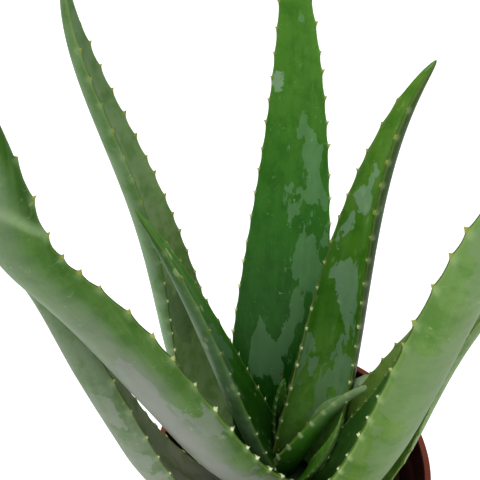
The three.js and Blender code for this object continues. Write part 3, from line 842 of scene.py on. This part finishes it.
# Rounds each corner of a line of [radius, height, corner radius] points.
def roundCorners(line, steps=4):
    result = [line[0][:2]]
    for before, corner, after in zip(line, line[1:], line[2:]):
        size = corner[2] if len(corner) > 2 else 0
        if not size:
            result.append(corner[:2])
            continue
        ends = []
        for near in (before, after):
            reach = math.dist(near[:2], corner[:2])
            share = min(size / reach, 0.5)
            ends.append([c + (n - c) * share for c, n in zip(corner[:2], near[:2])])
        for i in range(steps + 1):
            t = i / steps
            result.append([a * (1 - t) ** 2 + c * 2 * t * (1 - t) + b * t * t
                           for a, c, b in zip(ends[0], corner[:2], ends[1])])
    result.append(line[-1][:2])
    return result


# A closed turned body, from a line of [radius, height] points that starts and ends on the axis.
def turn(name, line, segments):
    inner = line[1:-1]
    points = [(0, 0, line[0][1] * mm), (0, 0, line[-1][1] * mm)]
    for i in range(segments):
        angle = 2 * math.pi * i / segments
        points += [(r * mm * math.cos(angle), r * mm * math.sin(angle), z * mm) for r, z in inner]
    faces = []
    count = len(inner)
    for i in range(segments):
        here, there = 2 + i * count, 2 + (i + 1) % segments * count
        faces.append((0, there, here))
        faces.append((1, here + count - 1, there + count - 1))
        faces += [(here + j, there + j, there + j + 1, here + j + 1) for j in range(count - 1)]
    return linkMesh(name, points, faces)


def innerRadius(height):
    collarFoot = pot["height"] - pot["collarHeight"]
    top = pot["rimRadius"] - pot["lipWidth"] - pot["collarStep"]
    share = (height - pot["floor"]) / (collarFoot - pot["floor"])
    return pot["baseRadius"] + (top - pot["baseRadius"]) * share - pot["wall"]


def potLine():
    p = pot
    lipInner = p["rimRadius"] - p["lipWidth"]
    collarFoot = p["height"] - p["collarHeight"]
    wallTop = lipInner - p["collarStep"]
    footInner = p["baseRadius"] - p["footWidth"]
    channelInner = p["padRadius"] + p["channelRise"]
    lipUnder = p["height"] - p["lipThickness"]
    low, rise, floor = 0, p["channelRise"], p["floor"]
    return roundCorners([
        [0, low], [p["padRadius"], low, 1], [channelInner, rise, 1], [footInner - rise, rise, 1],
        [footInner, low, 1], [p["baseRadius"] - 0.4, low, 1.6], [wallTop, collarFoot - 1.5, 1],
        [lipInner + 0.2, collarFoot, 1], [lipInner + 0.8, lipUnder - 0.4, 1],
        [p["rimRadius"], lipUnder, 0.5], [p["rimRadius"], p["height"], 0.8],
        [lipInner + 0.1, p["height"], 1.1],
        [lipInner - 1.1, collarFoot + 0.6, 1], [innerRadius(collarFoot - 1.5), collarFoot - 1.5, 1],
        [innerRadius(floor + 2), floor + 2, 1.5], [footInner - 0.5, floor, 1],
        [footInner - rise, rise + floor, 1], [channelInner, rise + floor, 1], [p["padRadius"], floor, 1],
        [0, floor]])


def applyModifiers(obj):
    bpy.context.view_layer.update()
    made = bpy.data.meshes.new_from_object(obj.evaluated_get(bpy.context.evaluated_depsgraph_get()))
    obj.modifiers.clear()
    obj.data = made


def makePot():
    body = turn("nursery_pot", potLine(), pot["segments"])
    ring = (pot["padRadius"] + pot["baseRadius"] - pot["footWidth"]) / 2
    for i in range(pot["holeCount"]):
        angle = 2 * math.pi * i / pot["holeCount"]
        drill = turn("drill", [[0, -3], [pot["holeRadius"], -3], [pot["holeRadius"], 10], [0, 10]], 32)
        for corner in drill.data.vertices:
            corner.co.x += ring * mm * math.cos(angle)
            corner.co.y += ring * mm * math.sin(angle)
        cut = body.modifiers.new("hole", "BOOLEAN")
        cut.object = drill
        applyModifiers(body)
        bpy.data.objects.remove(drill)
    body.data.shade_smooth()
    body.data.set_sharp_from_angle(angle=math.radians(40))
    body.data.materials.append(potMaterial())
    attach(body, "root")
    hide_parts("pot")


def potMaterial():
    made, tree = newMaterial("terracottaPlastic")
    place = tree.node("ShaderNodeTexCoord", out="Object")
    x, y, z = place.parts()
    facingX, facingY, _ = tree.node("ShaderNodeNewGeometry", out="Normal").parts()
    angle = y.of("ARCTAN2", x)
    # inward-facing walls get painted shade, darker than the lamps alone make them
    innerShade = (x * facingX + y * facingY).rise(-0.03, -0.01, 1.0, 0.0)
    cloud = tree.noise(place, 45.0, 4.0)
    streak = tree.noise(tree.xyz(angle * 12.0, 0.0, z * 14.0), 3.0, 3.0)
    colour = tree.blend(cloud, scaled(pot["outside"], 0.85), scaled(pot["outside"], 1.15))
    colour = tree.blend(innerShade, colour, pot["innerShade"])
    dust = tree.noise(place, 160.0, 4.0, 0.7).rise(0.52, 0.75)
    low = 1 - z.rise(0.0, 0.05)
    dustShare = dust * (low * 0.5 + 0.12)
    colour = tree.blend(dustShare, colour, pot["dust"])
    pitted = tree.noise(place, 900.0, 2.0)
    scuff = tree.noise(tree.xyz(angle * 3.0, 0.0, z * 90.0), 4.0, 2.0)
    rough = 0.42 + dustShare * 0.4 + (streak - 0.5) * 0.15
    height = pitted * 0.00005 + scuff * 0.00006 + dust * 0.00008
    bump = tree.node("ShaderNodeBump", {}, {"Strength": 1.0, "Distance": 1.0, "Height": height})
    tree.output(Base_Color=colour, Roughness=rough, Normal=bump, Specular_IOR_Level=0.1)
    return made


makePot()
print("pot turned")


# The soil and the stem, in millimetres. gap is kept between the soil and its neighbours.
soil = {
    "top": 88, "relief": 1.3, "rings": 30, "segments": 150, "roughness": 0.9,
    "crumbs": 2600, "crumbSize": 1.5, "clearRadius": 20, "seed": 4,
    "dark": rgb(30, 21, 15), "light": rgb(74, 54, 38), "bark": rgb(112, 74, 50),
    "perlite": rgb(214, 208, 196),
}
stem = {
    "foot": 66, "neckRadius": 9.5, "crownRadius": 14, "crownHeight": 97, "top": 105, "segments": 72,
    "greenFrom": 96, "greenTo": 101, "scarDepth": 0.035,
    "colour": rgb(120, 128, 74), "scar": rgb(112, 84, 50), "crown": rgb(28, 60, 14),
}
gap = 0.3


def soilRelief(x, y):
    coarse = math.sin(0.21 * x + 1.3) * math.cos(0.17 * y - 0.4)
    fine = math.sin(0.62 * x - 0.5 * y) * math.cos(0.55 * y + 0.31 * x + 2)
    return soil["relief"] * (0.55 * coarse + 0.45 * fine)


def makeSoil():
    bore = stem["neckRadius"] + gap
    bed = pot["channelRise"] + pot["floor"] + gap
    wall = innerRadius(soil["top"]) - gap - 0.2
    line = [[0, bed], [innerRadius(bed) - gap - 0.4, bed], [wall, soil["top"]]]
    for ring in range(1, soil["rings"]):
        line.append([wall + (bore - wall) * ring / soil["rings"], soil["top"]])
    line += [[bore, soil["top"]], [bore, stem["foot"] - gap], [0, stem["foot"] - gap]]
    body = turn("potting_soil", line, soil["segments"])
    for corner in body.data.vertices:
        if corner.co.z > (soil["top"] - 1) * mm:
            x, y = corner.co.x / mm, corner.co.y / mm
            lumps = math.sin(1.9 * x + 2 * math.sin(1.3 * y)) * math.sin(1.7 * y + 2 * math.sin(1.1 * x))
            corner.co.z += (soilRelief(x, y) + lumps * 0.35 * soil["roughness"]) * mm
    body.data.shade_smooth()
    body.data.materials.append(soilMaterial())
    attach(body, "root")
    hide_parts("soil")
    return body


# Crumbs of peat, chips of bark and grains of perlite, strewn over a surface.
def makeCrumbTree(surface):
    group, tree, given = newGeometryTree("soil crumbs", {
        "Density": ("Float", 1.0), "Size": ("Float", 0.001), "Clear Radius": ("Float", 0.02),
        "Outer Radius": ("Float", 0.05), "Top": ("Float", 0.08), "Seed": ("Int", 0),
        "Material": ("Material", None)})
    source = tree.node("GeometryNodeObjectInfo", {}, {"Object": surface}, "Geometry")
    x, y, z = tree.node("GeometryNodeInputPosition").parts()
    radius = (x * x + y * y) ** 0.5
    onTop = (radius > given["Clear Radius"]) * (radius < given["Outer Radius"]) * (z > given["Top"])
    points = tree.node("GeometryNodeDistributePointsOnFaces", {}, {
        "Mesh": source, "Selection": onTop, "Density": given["Density"], "Seed": given["Seed"]})
    kind = tree.random(0.0, 1.0, 11)
    points = storeField(tree, points, "kind", kind)
    ball = tree.node("GeometryNodeMeshIcoSphere", {}, {"Radius": 1.0, "Subdivisions": 2})
    place = tree.node("GeometryNodeInputPosition")
    lumpy = place * (tree.noise(place, 1.3, 2.0) * 1.4 + 0.3)
    ball = tree.node("GeometryNodeSetPosition", {}, {"Geometry": ball, "Position": lumpy})
    uneven = tree.random((0.35, 0.35, 0.25), (1.25, 0.9, 0.7), 7)
    spun = tree.random((-0.5, -0.5, 0.0), (0.5, 0.5, 6.28), 8)
    spin = tree.node("FunctionNodeEulerToRotation", {}, {"Euler": spun})
    size = given["Size"] * (1 + (kind > 0.93) * 0.9)
    crumbs = tree.node("GeometryNodeInstanceOnPoints", {}, {
        "Points": points, "Instance": ball, "Rotation": spin, "Scale": uneven * size})
    closeTree(tree, crumbs, given["Material"])
    return group


def makeCrumbs(surface):
    wall = innerRadius(soil["top"]) - gap - 0.2
    area = math.pi * (wall * wall - soil["clearRadius"] ** 2) * mm * mm
    piece = grow("soil_crumbs", makeCrumbTree(surface), {
        "Density": soil["crumbs"] / area, "Size": soil["crumbSize"] * mm,
        "Clear Radius": soil["clearRadius"] * mm, "Outer Radius": (wall - 2) * mm,
        "Top": (soil["top"] - 2) * mm, "Seed": soil["seed"], "Material": soilMaterial(crumbs=True)})
    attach(piece, "root")


def soilMaterial(crumbs=False):
    made, tree = newMaterial("soilCrumbs" if crumbs else "pottingSoil")
    place = tree.node("ShaderNodeTexCoord", out="Object")
    cloud = tree.noise(place, 180.0, 5.0, 0.7)
    fibre = tree.noise(place * (1.0, 0.2, 1.0), 700.0, 3.0)
    colour = tree.blend(cloud.rise(0.35, 0.7), soil["dark"], soil["light"])
    colour = tree.blend(fibre.rise(0.6, 0.7) * 0.5, colour, soil["bark"])
    if crumbs:
        kind = tree.attribute("kind")
        colour = tree.blend(kind.rise(0.90, 0.91) * 0.8, colour, soil["bark"])
        colour = tree.blend(kind.rise(0.975, 0.98) * 0.85, colour, soil["perlite"])
    height = cloud * 0.0004 + fibre * 0.0002
    bump = tree.node("ShaderNodeBump", {}, {"Strength": 0.8, "Distance": 1.0, "Height": height})
    rough = 0.85 + (cloud - 0.5) * 0.2
    tree.output(Base_Color=colour, Roughness=rough, Normal=bump, Specular_IOR_Level=0.25)
    return made


def makeStem():
    s = stem
    line = [[0, s["foot"]], [s["neckRadius"], s["foot"], 1.5], [s["neckRadius"], soil["top"] + 3, 2],
            [s["crownRadius"], s["crownHeight"] - 3, 2], [s["crownRadius"], s["crownHeight"], 1],
            [s["crownRadius"] * 0.84, s["crownHeight"] + 4, 1],
            [s["crownRadius"] * 0.5, s["top"] - 1.5, 1], [0, s["top"]]]
    rounded = roundCorners(line, 6)
    fine = []
    for (r0, z0), (r1, z1) in zip(rounded, rounded[1:]):
        parts = max(1, round(math.dist((r0, z0), (r1, z1)) / 0.7))
        fine += [[r0 + (r1 - r0) * i / parts, z0 + (z1 - z0) * i / parts] for i in range(parts)]
    body = turn("aloe_stem", fine + [rounded[-1]], s["segments"])
    for corner in body.data.vertices:
        height = corner.co.z / mm
        angle = math.atan2(corner.co.y, corner.co.x)
        scar = 0.5 + 0.5 * math.sin(height * 1.9 + 1.2 * math.sin(angle * 3) + angle)
        shrink = 1 - s["scarDepth"] * scar ** 3
        corner.co.x *= shrink
        corner.co.y *= shrink
    body.data.shade_smooth()
    body.data.materials.append(stemMaterial())
    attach(body, "root")
    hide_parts("stem")


def stemMaterial():
    made, tree = newMaterial("stemSkin")
    place = tree.node("ShaderNodeTexCoord", out="Object")
    z = place.parts()[2]
    rings = (z * 1900.0 + tree.noise(place, 60.0, 2.0) * 6.0).of("SINE") * 0.5 + 0.5
    fibre = tree.noise(place * (1.0, 1.0, 0.15), 900.0, 3.0)
    colour = tree.blend(fibre, scaled(stem["colour"], 0.8), scaled(stem["colour"], 1.2))
    colour = tree.blend(rings.rise(0.6, 0.95) * 0.8, colour, stem["scar"])
    green = z.rise(stem["greenFrom"] * mm, stem["greenTo"] * mm)
    colour = tree.blend(green, colour, stem["crown"])
    height = fibre * 0.0002 - rings * 0.0002
    bump = tree.node("ShaderNodeBump", {}, {"Strength": 0.8, "Distance": 1.0, "Height": height})
    tree.output(Base_Color=colour, Roughness=0.6 + fibre * 0.2, Normal=bump)
    return made


soilBody = makeSoil()
makeCrumbs(soilBody)
makeStem()
print("soil and stem made")
